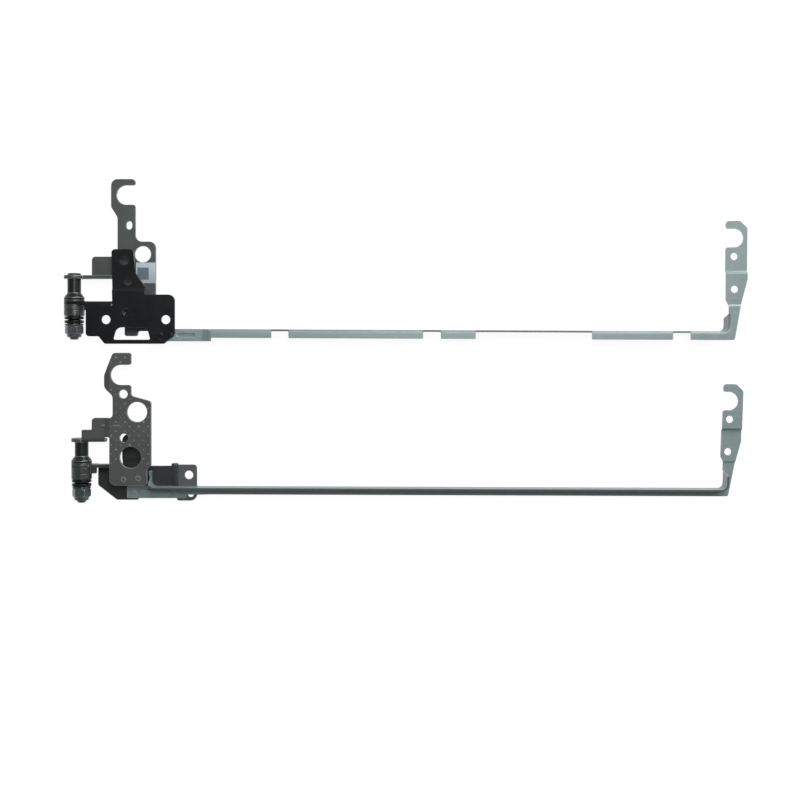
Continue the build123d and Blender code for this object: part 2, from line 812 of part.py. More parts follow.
def rail_flange(rail):
    """Flat shape of a rail's tab and long flange, with its notches and rivet holes."""
    flange_end, flange_end_y = arm_point(rail, 0, arm_waist + rail_sheet)
    tab_bottom = rail.near_y - tab_width
    flange = outline(
        (rail.tab_start, rail.near_y, small_corner),
        (flange_end, flange_end_y, 0),
        (flange_end, flange_end_y - rail_width, 0),
        (rail.tab_end, rail_side(rail, rail.tab_end) - rail_width, small_corner),
        (rail.tab_end, tab_bottom, small_corner),
        (rail.tab_start, tab_bottom, small_corner),
    )
    for start, length in rail.notches:
        start_y = rail_side(rail, start)
        end_y = rail_side(rail, start + length)
        flange -= outline(
            (start, start_y - rail_sheet, small_corner),
            (start + length, end_y - rail_sheet, small_corner),
            (start + length, end_y - 2 * rail_width, 0),
            (start, start_y - 2 * rail_width, 0),
        )
    corners = [vertex for vertex in flange.vertices() if rail.tab_end < vertex.X < flange_end - rail_sheet]
    outer = [v for v in corners if abs(v.Y - rail_side(rail, v.X) + rail_width) < seat_clearance]
    return (fillet(outer, small_corner) if outer else flange) - rivet_holes(rail)


def side_rail(rail):
    """Angle-section side rail: tab under the lid bracket, long flange with its upright wall, and end arm."""
    step_start = rail.step_end - step_run
    face_line = [
        (-beyond, tab_face),
        (step_start, tab_face),
        (rail.step_end, stack_height),
        (2 * beyond, stack_height),
    ]
    sheet = slab(rail_flange(rail), 0, stack_height) & along_y(ribbon(face_line, rail_sheet))
    below_face = outline(*[(x, z, 0) for x, z in [(-beyond, 0)] + face_line + [(2 * beyond, 0)]])
    wall = rail_wall(rail) & along_y(below_face)
    crown, groove = pressed_rib(rail.bead_end - rail.bead_start, bead_width, bead_height, rail_sheet)
    bead_place = Pos((rail.bead_start + rail.bead_end) / 2, rail.near_y - tab_width / 2, tab_face)
    body = sheet + rail_arm(rail) + wall + bead_place * crown - bead_place * groove
    return body - bend_waste(rail, step_start)


def rail_rivets(rail):
    """Rivets that hold a rail's tab under its lid bracket, dressed flush on both sides."""
    faces = rivet_faces(rail, rivet_diameter / 2)
    return Compound([slab(face, tab_face - rail_sheet, stack_height) for face in faces])


def label():
    """Blank label on the left base plate, under the boss hole."""
    right = left_plate_right - label_edge_gap
    top = left_boss_hole_y - left_boss_hole_radius - label_edge_gap
    face = box_face(right - label_width, top - label_height, right, top)
    return slab(face, base_sheet, base_sheet + label_thickness)


def friction_stack(hand, shaft):
    """Shaft and everything threaded on it, named for one hand."""
    round_hole = Circle(journal_diameter / 2 + seat_clearance)
    thrust_washer = washer(collar_diameter, thrust_washer_thickness, round_hole)
    end_washer = washer(end_washer_diameter, end_washer_thickness, round_hole)
    pieces = {
        "hinge_shaft": shaft,
        "thrust_washer": on_shaft(thrust_washer, collar_end),
        "friction_disc": friction_disc(),
        "pressure_disc": pressure_disc(),
        "end_washer": on_shaft(end_washer, end_washer_start),
        "lock_nut": lock_nut(),
    }
    for index in range(spring_count):
        pieces[f"spring_washer_{index + 1}"] = spring_washer(index)
    return {f"{hand}_{name}": piece for name, piece in pieces.items()}


def left_hinge():
    """Every piece of the left hinge, in its own frame."""
    return friction_stack("left", hinge_shaft() + rivet_head()) | {
        "left_base_bracket": left_base_bracket(),
        "left_label": label(),
        "left_lid_bracket": left_lid_bracket(),
        "left_rail": side_rail(left_rail),
        "left_rail_rivets": rail_rivets(left_rail),
    }


def right_hinge():
    """Every piece of the right hinge, in its own frame and then turned over."""
    pieces = friction_stack("right", hinge_shaft()) | {
        "right_base_bracket": right_base_bracket(),
        "right_lid_bracket": right_lid_bracket(),
        "right_rail": side_rail(right_rail),
        "right_rail_rivets": rail_rivets(right_rail),
    }
    middle = Plane.XY.offset(stack_height / 2)
    return {name: mirror(piece, about=middle) for name, piece in pieces.items()}


def bounds(pieces):
    """Box around a set of pieces."""
    return Compound(list(pieces.values())).bounding_box()


def lay_out():
    """Both hinges about the middle of their common box: the pieces by name, and each hinge's own origin."""
    left, right = left_hinge(), right_hinge()
    drop = bounds(left).min.Y - pair_gap - bounds(right).max.Y
    pair = left | {name: Pos(pair_shift, drop, 0) * piece for name, piece in right.items()}
    box = bounds(pair)
    left_origin = Vector(-box.center().X, -box.center().Y, -box.min.Z)
    right_origin = left_origin + Vector(pair_shift, drop, 0)
    return {name: Pos(left_origin) * piece for name, piece in pair.items()}, left_origin, right_origin


def main():
    """Writes each piece to a file of its own."""
    pieces, left_origin, right_origin = lay_out()
    os.makedirs("parts", exist_ok=True)
    for name, piece in pieces.items():
        export_step(piece, f"parts/{name}.step")
    print("left hinge's shaft stands at", left_origin, "and the right hinge's at", right_origin)


main()
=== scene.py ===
"""Finishes for a pair of laptop hinges: coats, plating, worn edges with some painted highlight and shade,
punch marks and a plain studio.
"""

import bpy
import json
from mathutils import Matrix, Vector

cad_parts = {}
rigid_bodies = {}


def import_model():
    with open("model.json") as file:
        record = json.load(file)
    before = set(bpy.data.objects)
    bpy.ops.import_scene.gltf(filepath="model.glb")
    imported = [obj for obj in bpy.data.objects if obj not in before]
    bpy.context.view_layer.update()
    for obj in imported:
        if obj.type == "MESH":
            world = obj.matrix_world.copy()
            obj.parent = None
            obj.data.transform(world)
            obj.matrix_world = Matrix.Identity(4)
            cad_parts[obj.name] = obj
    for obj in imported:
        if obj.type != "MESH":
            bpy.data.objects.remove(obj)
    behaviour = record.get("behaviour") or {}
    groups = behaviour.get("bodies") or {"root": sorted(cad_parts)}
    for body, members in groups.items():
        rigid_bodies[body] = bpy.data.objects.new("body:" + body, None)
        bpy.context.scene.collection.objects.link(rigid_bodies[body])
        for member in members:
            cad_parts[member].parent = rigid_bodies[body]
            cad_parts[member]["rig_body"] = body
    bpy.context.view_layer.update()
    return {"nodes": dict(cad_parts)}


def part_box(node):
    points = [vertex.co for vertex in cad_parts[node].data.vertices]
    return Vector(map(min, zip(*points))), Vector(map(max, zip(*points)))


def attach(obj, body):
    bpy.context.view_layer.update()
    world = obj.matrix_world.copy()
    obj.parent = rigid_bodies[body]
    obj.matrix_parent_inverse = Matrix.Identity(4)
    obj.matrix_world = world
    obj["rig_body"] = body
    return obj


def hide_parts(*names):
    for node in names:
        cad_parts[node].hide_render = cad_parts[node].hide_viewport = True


bl_info = {
    "name": "Laptop hinge pair",
    "version": (1, 0, 0),
    "blender": (4, 5, 0),
    "location": "View3D > Sidebar > Hinges",
    "description": "Dresses a pair of laptop hinges and their side rails, and sets up a plain studio",
    "category": "Object",
}

import json
import math
import random

import bmesh
import bpy
from bpy.props import FloatProperty, FloatVectorProperty, IntProperty, PointerProperty
from bpy.types import Operator, Panel, PropertyGroup
from mathutils import Matrix, Vector
from mathutils.bvhtree import BVHTree

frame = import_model()

MM = 0.001
PHOTO_PIXELS = 800

# Marks of the wear layer. The cut-edge mark also paints shade on the rails' lower flange edge.
BROKEN_EDGE = 1.0
CUT_EDGE_AND_SHADE = 2.0

# Parts of a face's normal that tell how the face stands
UPRIGHT = 0.05
FACING = 0.4
STRAIGHT_ALONG = 0.99
SLOPING = (0.2, 0.99)

# Chance in the flattening pits: seed, range of their scale and range of how bright they are
PIT_SEED = 5
PIT_SCALES = (0.6, 1.0)
PIT_WEAR = (0.3, 0.9)
PIT_SIDES = 8

# Punched rings: how bright they are, and the facets round them
RING_WEAR = 0.45
RING_STEPS = 24

# Places of the punched rings: millimetres in from the right base plate's right edge, and up from its foot
PUNCH_MARKS = ((9.2, 2.1), (4.3, 2.5))

# Handling scratches on the right base plate: start and end along x, and place along y, in millimetres
SCRATCHES = ((-102.0, -100.2, -28.45), (-97.9, -95.3, -28.5))


def size(label, description, millimetres):
    """Length property, given in millimetres."""
    return FloatProperty(
        name=label, description=description, default=millimetres * MM, unit="LENGTH", precision=5
    )


def place(label, description, millimetres):
    """Point property, given in millimetres."""
    point = tuple(value * MM for value in millimetres)
    return FloatVectorProperty(name=label, description=description, default=point, subtype="TRANSLATION")


def share(label, description, default):
    """Property between nothing and all."""
    return FloatProperty(name=label, description=description, default=default, min=0, max=1, subtype="FACTOR")


def level(label, description, default):
    """Plain number property."""
    return FloatProperty(name=label, description=description, default=default)


def linear(code):
    """Linear red, green, blue and alpha of a six-digit screen colour."""
    channels = [int(code[start : start + 2], 16) / 255 for start in (0, 2, 4)]
    return tuple(c / 12.92 if c <= 0.04045 else ((c + 0.055) / 1.055) ** 2.4 for c in channels) + (1.0,)


def colour(label, description, code):
    """Colour property, given as a six-digit screen colour."""
    return FloatVectorProperty(
        name=label, description=description, default=linear(code), size=4, min=0, max=1, subtype="COLOR"
    )


class HingeSizes(PropertyGroup):
    """Sizes of the details that the finishes add."""

    edge_break: size("Edge break", "Width of the softened edge on stamped and turned pieces", 0.1)
    edge_steps: IntProperty(name="Edge steps", description="Facets across a softened edge", default=2, min=1)
    weld_gap: size("Weld gap", "Points closer than this are joined", 0.02)
    sheared_wear: share("Sheared wear", "How bare the sheared edges of a base bracket are", 0.7)
    base_edge: size("Base edge", "Greatest height of a base bracket's sheared edge", 1.3)
    rail_edge: size("Rail edge", "Greatest height of a rail's sheared edge", 0.7)
    rail_bend: size("Rail bend", "Height of the rounded bend along a rail", 1.05)
    arm_span: size("Arm span", "Length of a rail's far end, beyond its last notch", 12)
    sharp_angle: FloatProperty(
        name="Sharp angle",
        description="Edges sharper than this are softened",
        default=math.radians(35),
        subtype="ANGLE",
    )
    pit_pitch: size("Pit pitch", "Spacing of the flattening pits along a row", 3.08)
    pit_shift: size("Pit shift", "How far the pattern of pits starts from the plate's right edge", 1.0)
    pit_width: size("Pit width", "Width of the widest pit", 0.7)
    pit_depth: size("Pit depth", "Depth of the deepest pit", 0.16)
    pit_margin: size("Pit margin", "Least distance from a pit to an edge", 0.2)
    pit_floor: size("Pit floor", "Height over the plate's lower edge where the pits end", 4.6)
    mark_radius: size("Mark radius", "Radius of the two punched rings", 0.75)
    mark_width: size("Mark width", "Width of a punched ring's groove", 0.5)
    mark_depth: size("Mark depth", "Depth of a punched ring's groove", 0.1)
    # Painted light: width of the right lid bracket's end that is painted in a lighter tone, where light falls
    # on it.
    painted_light_width: size("Pale width", "Width of the paler end of the right lid bracket", 6.5)


class HingeColours(PropertyGroup):
    """Colours of the finishes, as they look in plain light."""

    black_coat: colour("Black coat", "Paint on the left lid bracket", "0b0f11")
    # Edge colour of the black coat: partly paint worn thin, partly a painted highlight along the edges.
    black_wear_and_highlight: colour("Black coat edge", "Paint worn thin on an edge", "373d3f")
    dark_coat: colour("Dark coat", "Oiled black finish on the right lid bracket", "313535")
    dark_wear: colour("Dark coat edge", "Dark finish rubbed on an edge", "767c7c")
    # Painted light: lighter tone painted on the right lid bracket's end, standing for light falling on it.
    painted_light_end: colour("Pale coat", "Thinner finish at the right lid bracket's screw hole", "54595a")
    base_steel: colour("Base steel", "Grey sheet of the left base bracket", "4b4f4e")
    base_wear: colour("Base steel edge", "Bare sheet on an edge", "a4a7a6")
    pitted_steel: colour("Pitted steel", "Grey sheet of the right base bracket", "4d504f")
    pitted_wear: colour("Pitted steel edge", "Bare sheet in the pits and on edges", "9a9d9c")
    zinc: colour("Zinc", "Plated sheet of the rails", "7e8d8c")
    zinc_wear: colour("Zinc edge", "Plating on an edge", "c8d0cf")
    # Raw cut edges, and also painted shade on the rails' lower flange edge that faces away from the light.
    zinc_cut_and_shade: colour("Zinc cut edge", "Raw steel where the plated sheet was cut", "3a403f")
    shaft: colour("Shaft", "Turned and blackened shaft", "282c2b")
    disc: colour("Disc", "Oiled friction discs and washers", "4a504f")
    spring: colour("Spring", "Dished spring washers", "141717")
    spring_wear: colour("Spring edge", "Rims of the spring washers", "323635")
    nut: colour("Nut", "Lock nut", "555b5f")
    bright: colour("Bright edge", "Bare metal on the edges of turned pieces", "8c9291")
    label: colour("Label", "Label film", "b0bcc3")
    label_field: colour("Label field", "Plain darker field on the label", "58636f")
    floor: colour("Floor", "Pale studio floor", "ffffff")


class StageSizes(PropertyGroup):
    """Camera, light and floor of the studio."""

    camera_x: size("Camera x", "Where the camera stands above the pair", 0.17)
    camera_y: size("Camera y", "Where the camera stands above the pair", -0.25)
    camera_height: size("Camera height", "Height of the camera over the floor", 450)
    frame_width: size("Frame width", "Width of floor that the picture shows", 272)
    sensor_width: level("Sensor width", "Camera sensor in millimetres", 36)
    axis_px: level("Axis across", "Picture column under the camera", 405.5)
    axis_py: level("Axis down", "Picture row under the camera", 341)
    floor_width: size("Floor width", "Side of the square floor", 6000)
    floor_glow: share("Floor glow", "Share of the floor's white that is plain background", 0.93)
    floor_share: share("Floor share", "Share of the lamps' light that the floor gives back", 0.13)
    wall_light: level("Wall light", "Brightness of the pale walls around", 0.6)
    ceiling_light: level("Ceiling light", "Brightness of the ceiling overhead", 0.2)
    key_power: level("Key power", "Power of the soft lamp overhead in watts", 1.5)
    key_place: place("Key place", "Where the soft lamp hangs", (50, 170, 510))
    key_width: size("Key width", "Side of the soft lamp overhead", 220)
    window_power: level("Window power", "Power of the low light behind in watts", 3.0)
    window_place: place("Window place", "Where the low light stands", (300, 420, 170))
    window_width: size("Window width", "Side of the low light behind", 420)


class Wire:
    """Output of a shader node that takes part in plain arithmetic."""

    def __init__(self, nodes, socket):
        self.nodes = nodes
        self.socket = socket

    def maths(self, operation, first, second=0.0, clamp=False):
        """Math node on one or two values."""
        settings = {"operation": operation, "use_clamp": clamp}
        return self.nodes.add("ShaderNodeMath", settings, {0: first, 1: second})

    def __add__(self, other):
        return self.maths("ADD", self, other)

    def __radd__(self, other):
        return self.maths("ADD", other, self)

    def __sub__(self, other):
        return self.maths("SUBTRACT", self, other)

    def __rsub__(self, other):
        return self.maths("SUBTRACT", other, self)

    def __mul__(self, other):
        return self.maths("MULTIPLY", self, other)

    def __rmul__(self, other):
        return self.maths("MULTIPLY", other, self)

    def clamped(self):
        """Value held between nothing and one."""
        return self.maths("ADD", self, 0.0, clamp=True)

    def above(self, start, end):
        """Smooth rise from nothing at start to one at end."""
        settings = {"interpolation_type": "SMOOTHSTEP"}
        return self.nodes.add("ShaderNodeMapRange", settings, {0: self, 1: start, 2: end, 3: 0.0, 4: 1.0})

    def between(self, low, high, softness):
        """One inside an interval, with soft ends."""
        return self.above(low, low + softness) * (1 - self.above(high - softness, high))


class Nodes:
    """Node tree that is filled through one method."""

    def __init__(self, tree):
        self.tree = tree

    def add(self, kind, settings=None, sockets=None, output=0):
        """New node of a kind, its settings first and then its socket values or links."""
        node = self.tree.nodes.new(kind)
        for name, value in (settings or {}).items():
            setattr(node, name, value)
        for name, value in (sockets or {}).items():
            self.feed(node.inputs[name], value)
        return Wire(self, node.outputs[output])

    def feed(self, socket, value):
        """Links a wire to a socket, or sets its value."""
        if isinstance(value, Wire):
            self.tree.links.new(value.socket, socket)
        else:
            socket.default_value = value

    def background_rays(self):
        """One for rays that look at the background, straight, in a mirror or through glass."""
        kinds = ("Is Camera Ray", "Is Glossy Ray", "Is Transmission Ray")
        seen, mirrored, through = [self.add("ShaderNodeLightPath", output=kind) for kind in kinds]
        return (seen + mirrored + through).clamped()


class Finish(Nodes):
    """Material of one finish."""

    def __init__(self, name, roughness, metallic, specular=0.5):
        self.material = bpy.data.materials.new(name)
        self.material.use_nodes = True
        super().__init__(self.material.node_tree)
        self.shader = self.tree.nodes["Principled BSDF"]
        self.set("Roughness", roughness)
        self.set("Metallic", metallic)
        self.set("Specular IOR Level", specular)

    def set(self, name, value):
        """Feeds one socket of the finish's shader."""
        self.feed(self.shader.inputs[name], value)

    def place(self, stretch=(1, 1, 1)):
        """Position on the piece in millimetres, stretched along its axes."""
        point = self.add("ShaderNodeTexCoord", output="Object")
        factors = tuple(factor / MM for factor in stretch)
        return self.add("ShaderNodeVectorMath", {"operation": "MULTIPLY"}, {0: point, 1: factors})

    def axis(self, letter):
        """One coordinate of the position on the piece, in millimetres."""
        return self.add("ShaderNodeSeparateXYZ", None, {0: self.place()}, output=letter)

    def noise(self, scale, detail=2.0, roughness=0.5, stretch=(1, 1, 1)):
        """Soft cloudy value about one half, with its scale in features to the millimetre."""
        sockets = {"Vector": self.place(stretch), "Scale": scale, "Detail": detail, "Roughness": roughness}
        return self.add("ShaderNodeTexNoise", None, sockets)

    def worn(self):
        """One on softened edges and pits, two on raw cut edges and on edges painted dark as shade, nothing
        elsewhere.
        """
        return self.add("ShaderNodeAttribute", {"attribute_name": "edge_wear_and_shade"}, output="Fac")

    def blend(self, factor, first, second):
        """Colour between two colours."""
        return self.add("ShaderNodeMix", {"data_type": "RGBA"}, {0: factor, 6: first, 7: second}, output=2)

    def shades(self, factor, tone, dark, light):
        """Colour between a darker and a lighter shade of a tone."""
        return self.blend(factor, shade(tone, dark), shade(tone, light))

    def bump(self, height, distance, strength=1.0):
        """Fine relief, with its depth in millimetres."""
        sockets = {"Strength": strength, "Distance": distance * MM, "Height": height}
        self.set("Normal", self.add("ShaderNodeBump", None, sockets))


def shade(tone, factor):
    """Darker or lighter tone of a colour."""
    return tuple(min(1.0, channel * factor) for channel in tone[:3]) + (1.0,)


def coated_sheet(name, tone, edge_tone, roughness, metallic, specular, painted_light_tone=None, painted_light_from=0.0):
    """Painted or blackened sheet: faint clouds, fine orange peel, thin edges and, for some, an end painted
    lighter as painted light.
    """
    finish = Finish(name, roughness, metallic, specular)
    clouds = finish.noise(scale=0.22, detail=3)
    peel = finish.noise(scale=5.0)
    body = finish.shades(clouds, tone, 0.82, 1.2)
    # Painted light: past a place along x the sheet is blended towards a lighter tone, standing for light
    # falling on that end.
    if painted_light_tone:
        at_end = finish.axis("X").above(painted_light_from, painted_light_from + 0.4)
        body = finish.blend(at_end * (0.7 + 0.6 * clouds), body, painted_light_tone)
    # Edge colour on broken edges: on the black coat it is partly wear and partly a painted highlight.
    patchy = (finish.worn() * finish.noise(scale=0.9, detail=3).above(0.3, 0.6)).clamped()
    finish.set("Base Color", finish.blend(patchy, body, edge_tone))
    finish.set("Roughness", roughness + 0.16 * (clouds - 0.5) + 0.1 * (peel - 0.5))
    finish.bump(peel, distance=0.012)
    return finish.material


def black_sheet(name, colours):
    """Glossy black paint of the left lid bracket and its rivets, with lighter edges that are partly wear and
    partly painted highlight.
    """
    coat, worn = colours.black_coat, colours.black_wear_and_highlight
    return coated_sheet(name, coat, worn, roughness=0.3, metallic=0.0, specular=0.3)


def rolled_sheet(name, tone, edge_tone, roughness, metallic, scratches=()):
    """Bare rolled steel: fine rolling lines along the sheet, handling scratches and bright edges."""
    finish = Finish(name, roughness, metallic)
    clouds = finish.noise(scale=0.16, detail=4)
    lines = finish.noise(scale=1.6, detail=3, roughness=0.6, stretch=(3.2, 0.12, 1))
    grain = finish.noise(scale=7.0)
    body = finish.shades(clouds, tone, 0.84, 1.16)
    body = finish.blend(0.5 * lines.above(0.45, 0.75), body, shade(tone, 1.25))
    half_width = 0.2
    for start, end, height in scratches:
        length = finish.axis("X").between(start, end, softness=0.6)
        width = finish.axis("Y").between(height - half_width, height + half_width, softness=0.15)
        body = finish.blend(0.7 * length * width, body, edge_tone)
    finish.set("Base Color", finish.blend(finish.worn() * (0.5 + 0.5 * clouds), body, edge_tone))
    finish.set("Roughness", roughness + 0.2 * (clouds - 0.5) + 0.12 * (lines - 0.5))
    finish.bump(0.6 * lines + 0.4 * grain, distance=0.008)
    return finish.material


def zinc_sheet(name, colours):
    """Zinc-plated sheet: satin, with long drawn streaks, a faint mottle, dark cut edges and edges painted
    dark as shade.
    """
    roughness = 0.42
    finish = Finish(name, roughness, metallic=0.25)
    mottle = finish.noise(scale=0.5, detail=4, roughness=0.6)
    streaks = finish.noise(scale=0.9, detail=3, roughness=0.6, stretch=(0.05, 2.4, 2.4))
    tone = colours.zinc
    body = finish.shades(mottle, tone, 0.9, 1.1)
    body = finish.blend(0.45 * streaks.above(0.5, 0.72), body, shade(tone, 1.22))
    worn = finish.worn()
    # Dark on raw cut edges, and painted shade on the lower flange edge.
    cut = worn.above(1.2, 1.8)
    body = finish.blend(0.4 * worn.clamped(), body, colours.zinc_wear)
    finish.set("Base Color", finish.blend(0.9 * cut, body, colours.zinc_cut_and_shade))
    finish.set("Roughness", roughness + 0.22 * (mottle - 0.5) + 0.14 * (streaks - 0.5))
    finish.bump(streaks, distance=0.006)
    return finish.material


def turned_steel(name, tone, edge_tone, roughness):
    """Turned or punched steel with an oil film: rings about the shaft and bright rims."""
    finish = Finish(name, roughness, metallic=0.7)
    rings = finish.noise(scale=4.0, stretch=(0.05, 2.2, 0.05))
    film = finish.noise(scale=0.6, detail=3)
    body = finish.shades(film, tone, 0.7, 1.35)
    finish.set("Base Color", finish.blend(finish.worn() * (0.35 + 0.65 * film), body, edge_tone))
    finish.set("Roughness", roughness + 0.25 * (film - 0.5) + 0.1 * (rings - 0.5))
    finish.bump(rings, distance=0.012)
    return finish.material


def label_film(tone, field_tone):
    """Thin film with a plain darker field, lightly rubbed, and painted light that makes it lighter towards
    the top and darker towards the bottom.
    """
    roughness = 0.42
    finish = Finish("label_film", roughness, metallic=0.0, specular=0.4)
    low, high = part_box("left_label")
    margin, inset, softness = 1.1, 0.4, 0.12
    across = finish.axis("X").between(low.x / MM + inset, high.x / MM - 2 * margin, softness)
    down = finish.axis("Y").between(low.y / MM + margin, high.y / MM - 1.5 * margin, softness)
    rub = finish.noise(scale=1.4, detail=4)
    grain = finish.noise(scale=9.0)
    # Painted light and shade: the film is painted lighter towards the top and darker towards the bottom.
    painted_light_towards_top = finish.axis("Y").above(low.y / MM, high.y / MM)
    paper = finish.shades(0.8 * painted_light_towards_top + 0.2 * rub, tone, 0.76, 1.1)
    field = finish.shades(rub, field_tone, 0.86, 1.14)
    finish.set("Base Color", finish.blend(across * down * (0.85 + 0.15 * grain), paper, field))
    finish.set("Roughness", roughness + 0.16 * (rub - 0.5))
    finish.bump(grain, distance=0.004)
    return finish.material


def wear_layer(mesh):
    """Face layer that marks softened edges, sheared edges, pits and edges painted dark as shade."""
    return mesh.faces.layers.float.get("edge_wear_and_shade") or mesh.faces.layers.float.new("edge_wear_and_shade")


def settle(mesh, surface, reach):
    """Draws points that a tight corner threw off the surface back in between their neighbours."""
    astray = [point for point in mesh.verts if surface.find_nearest(point.co)[3] > reach]
    while astray:
        lost = set(astray)
        for point in astray:
            near = [edge.other_vert(point) for edge in point.link_edges]
            sound = [neighbour.co for neighbour in near if neighbour not in lost]
            if sound:
                point.co = sum(sound, Vector()) / len(sound)
                lost.discard(point)
        if len(lost) == len(astray):
            raise RuntimeError("softened corners have no sound neighbours")
        astray = [point for point in astray if point in lost]
    bmesh.ops.dissolve_degenerate(mesh, dist=reach / 10, edges=mesh.edges)


def at_spot(edge, spots, radius):
    """Whether an edge runs round one of some upright rivets."""
    ends = [point.co.xy for point in edge.verts]
    return any(all((end - spot).length < radius for end in ends) for spot in spots)


def softened(node_name, sizes, spots=(), radius=0.0):
    """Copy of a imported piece's mesh with its edges broken and marked as worn, save round flush rivets."""
    mesh = bmesh.new()
    mesh.from_mesh(frame["nodes"][node_name].data)
    layer = wear_layer(mesh)
    bmesh.ops.remove_doubles(mesh, verts=mesh.verts, dist=sizes.weld_gap)
    flat_angle = math.radians(0.5)
    bmesh.ops.dissolve_limit(mesh, angle_limit=flat_angle, verts=mesh.verts, edges=mesh.edges)
    surface = BVHTree.FromBMesh(mesh)
    sharp = [edge for edge in mesh.edges if edge.is_manifold and edge.calc_face_angle(0) > sizes.sharp_angle]
    made = bmesh.ops.bevel(
        mesh,
        geom=[edge for edge in sharp if not at_spot(edge, spots, radius)],
        offset=sizes.edge_break,
        offset_type="OFFSET",
        segments=sizes.edge_steps,
        profile=0.5,
        affect="EDGES",
        clamp_overlap=False,
    )
    for face in made["faces"]:
        face[layer] = BROKEN_EDGE
    settle(mesh, surface, sizes.edge_break / 2)
    return mesh


def mark(mesh, amount, chosen):
    """Marks the faces that a test chooses, at least by an amount, for wear, cut edges and painted shade."""
    layer = wear_layer(mesh)
    for face in mesh.faces:
        if chosen(face, face.calc_center_median()):
            face[layer] = max(face[layer], amount)


def mark_sheared(mesh, thickness, amount):
    """Marks the narrow upright faces that stamping leaves bare along a sheet's outline."""

    def sheared(face, middle):
        heights = [point.co.z for point in face.verts]
        return max(heights) - min(heights) < thickness and abs(face.normal.z) < UPRIGHT

    mark(mesh, amount, sheared)


def mark_free_edge(mesh, height, depth):
    """Marks the cut edge of an upright wall that ends at a height."""
    mark(mesh, CUT_EDGE_AND_SHADE, lambda face, middle: abs(middle.z - height) < depth)


def rivet_spots(hand):
    """Middles of a hand's two rail rivets, and the radius of a ring just outside them."""
    low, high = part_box(f"{hand}_rail_rivets")
    radius = (high.y - low.y) / 2
    middle = (high.y + low.y) / 2
    return [Vector((low.x + radius, middle)), Vector((high.x - radius, middle))], 1.2 * radius


def finished_object(name, mesh, material):
    """Object from an edited mesh, smooth over its curves and flat on its plates."""
    data = bpy.data.meshes.new(name)
    mesh.to_mesh(data)
    mesh.free()
    data.materials.clear()
    data.materials.append(material)
    data.shade_smooth()
    piece = bpy.data.objects.new(name, data)
    bpy.context.scene.collection.objects.link(piece)
    weights = piece.modifiers.new("flat_plates", "WEIGHTED_NORMAL")
    weights.mode = "FACE_AREA"
    weights.weight = 100
    return piece


def body_of(node_name):
    """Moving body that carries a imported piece."""
    return frame["nodes"][node_name]["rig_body"]


def dress(node_name, material, mesh):
    """Puts a finished piece in the place of a packed one."""
    piece = finished_object(f"{node_name}_finished", mesh, material)
    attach(piece, body_of(node_name))
    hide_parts(node_name)
    return piece


def settings(context):
    """Sizes and colours of the finishes."""
    return context.scene.hinge_sizes, context.scene.hinge_colours


class HINGES_OT_stage(Operator):
    """Set up the floor, the pale walls, the two lamps and the camera"""

    bl_idname = "hinges.stage"
    bl_label = "Studio"

    def execute(self, context):
        stage = context.scene.hinge_stage
        self.add_floor(stage, context.scene.hinge_colours)
        self.add_light(context.scene, stage)
        self.add_camera(context.scene, stage)
        context.scene.view_settings.view_transform = "Standard"
        return {"FINISHED"}

    def add_floor(self, stage, colours):
        """Pale floor that takes shadows and looks white where nothing shades it."""
        mesh = bmesh.new()
        bmesh.ops.create_grid(mesh, x_segments=1, y_segments=1, size=stage.floor_width / 2)
        finish = Finish("studio_floor", roughness=0.9, metallic=0.0, specular=0.0)
        finish.set("Base Color", shade(colours.floor, stage.floor_share))
        glow = finish.background_rays() * stage.floor_glow
        plain = finish.add("ShaderNodeEmission", None, {"Strength": glow})
        lit = Wire(finish, finish.shader.outputs["BSDF"])
        both = finish.add("ShaderNodeAddShader", None, {0: lit, 1: plain})
        finish.feed(finish.tree.nodes["Material Output"].inputs["Surface"], both)
        data = bpy.data.meshes.new("studio_floor")
        mesh.to_mesh(data)
        mesh.free()
        data.materials.append(finish.material)
        floor = bpy.data.objects.new("studio_floor", data)
        bpy.context.scene.collection.objects.link(floor)

    def add_light(self, scene, stage):
        """Pale walls that look white, under a dim ceiling, a soft lamp overhead and a low light behind."""
        world = bpy.data.worlds.new("studio_light")
        world.use_nodes = True
        scene.world = world
        sky = Nodes(world.node_tree)
        direction = sky.add("ShaderNodeTexCoord", output="Generated")
        height = sky.add("ShaderNodeSeparateXYZ", None, {0: direction}, output="Z")
        towards_wall = 1 - height * height
        rise = stage.wall_light - stage.ceiling_light
        light = stage.ceiling_light + rise * towards_wall * towards_wall
        seen = sky.add("ShaderNodeLightPath", output="Is Camera Ray")
        strength = light + seen * (1 - light)
        background = sky.tree.nodes["Background"]
        sky.feed(background.inputs["Color"], (1, 1, 1, 1))
        sky.feed(background.inputs["Strength"], strength)
        self.add_lamp(scene, "soft_lamp", stage.key_power, stage.key_width, stage.key_place)
        self.add_lamp(scene, "window", stage.window_power, stage.window_width, stage.window_place)

    def add_lamp(self, scene, name, power, width, place):
        """Square lamp that faces the pair."""
        lamp = bpy.data.lights.new(name, "AREA")
        lamp.energy = power
        lamp.size = width
        holder = bpy.data.objects.new(name, lamp)
        holder.location = place
        holder.rotation_euler = (-Vector(place)).to_track_quat("-Z", "Y").to_euler()
        scene.collection.objects.link(holder)

    def add_camera(self, scene, stage):
        """Camera that looks straight down, framed as the picture is."""
        camera = bpy.data.cameras.new("camera")
        camera.sensor_width = stage.sensor_width
        camera.lens = stage.sensor_width * stage.camera_height / stage.frame_width
        middle = PHOTO_PIXELS / 2
        camera.shift_x = (middle - stage.axis_px) / PHOTO_PIXELS
        camera.shift_y = (stage.axis_py - middle) / PHOTO_PIXELS
        holder = bpy.data.objects.new("camera", camera)
        holder.location = (stage.camera_x, stage.camera_y, stage.camera_height)
        scene.collection.objects.link(holder)
        scene.camera = holder


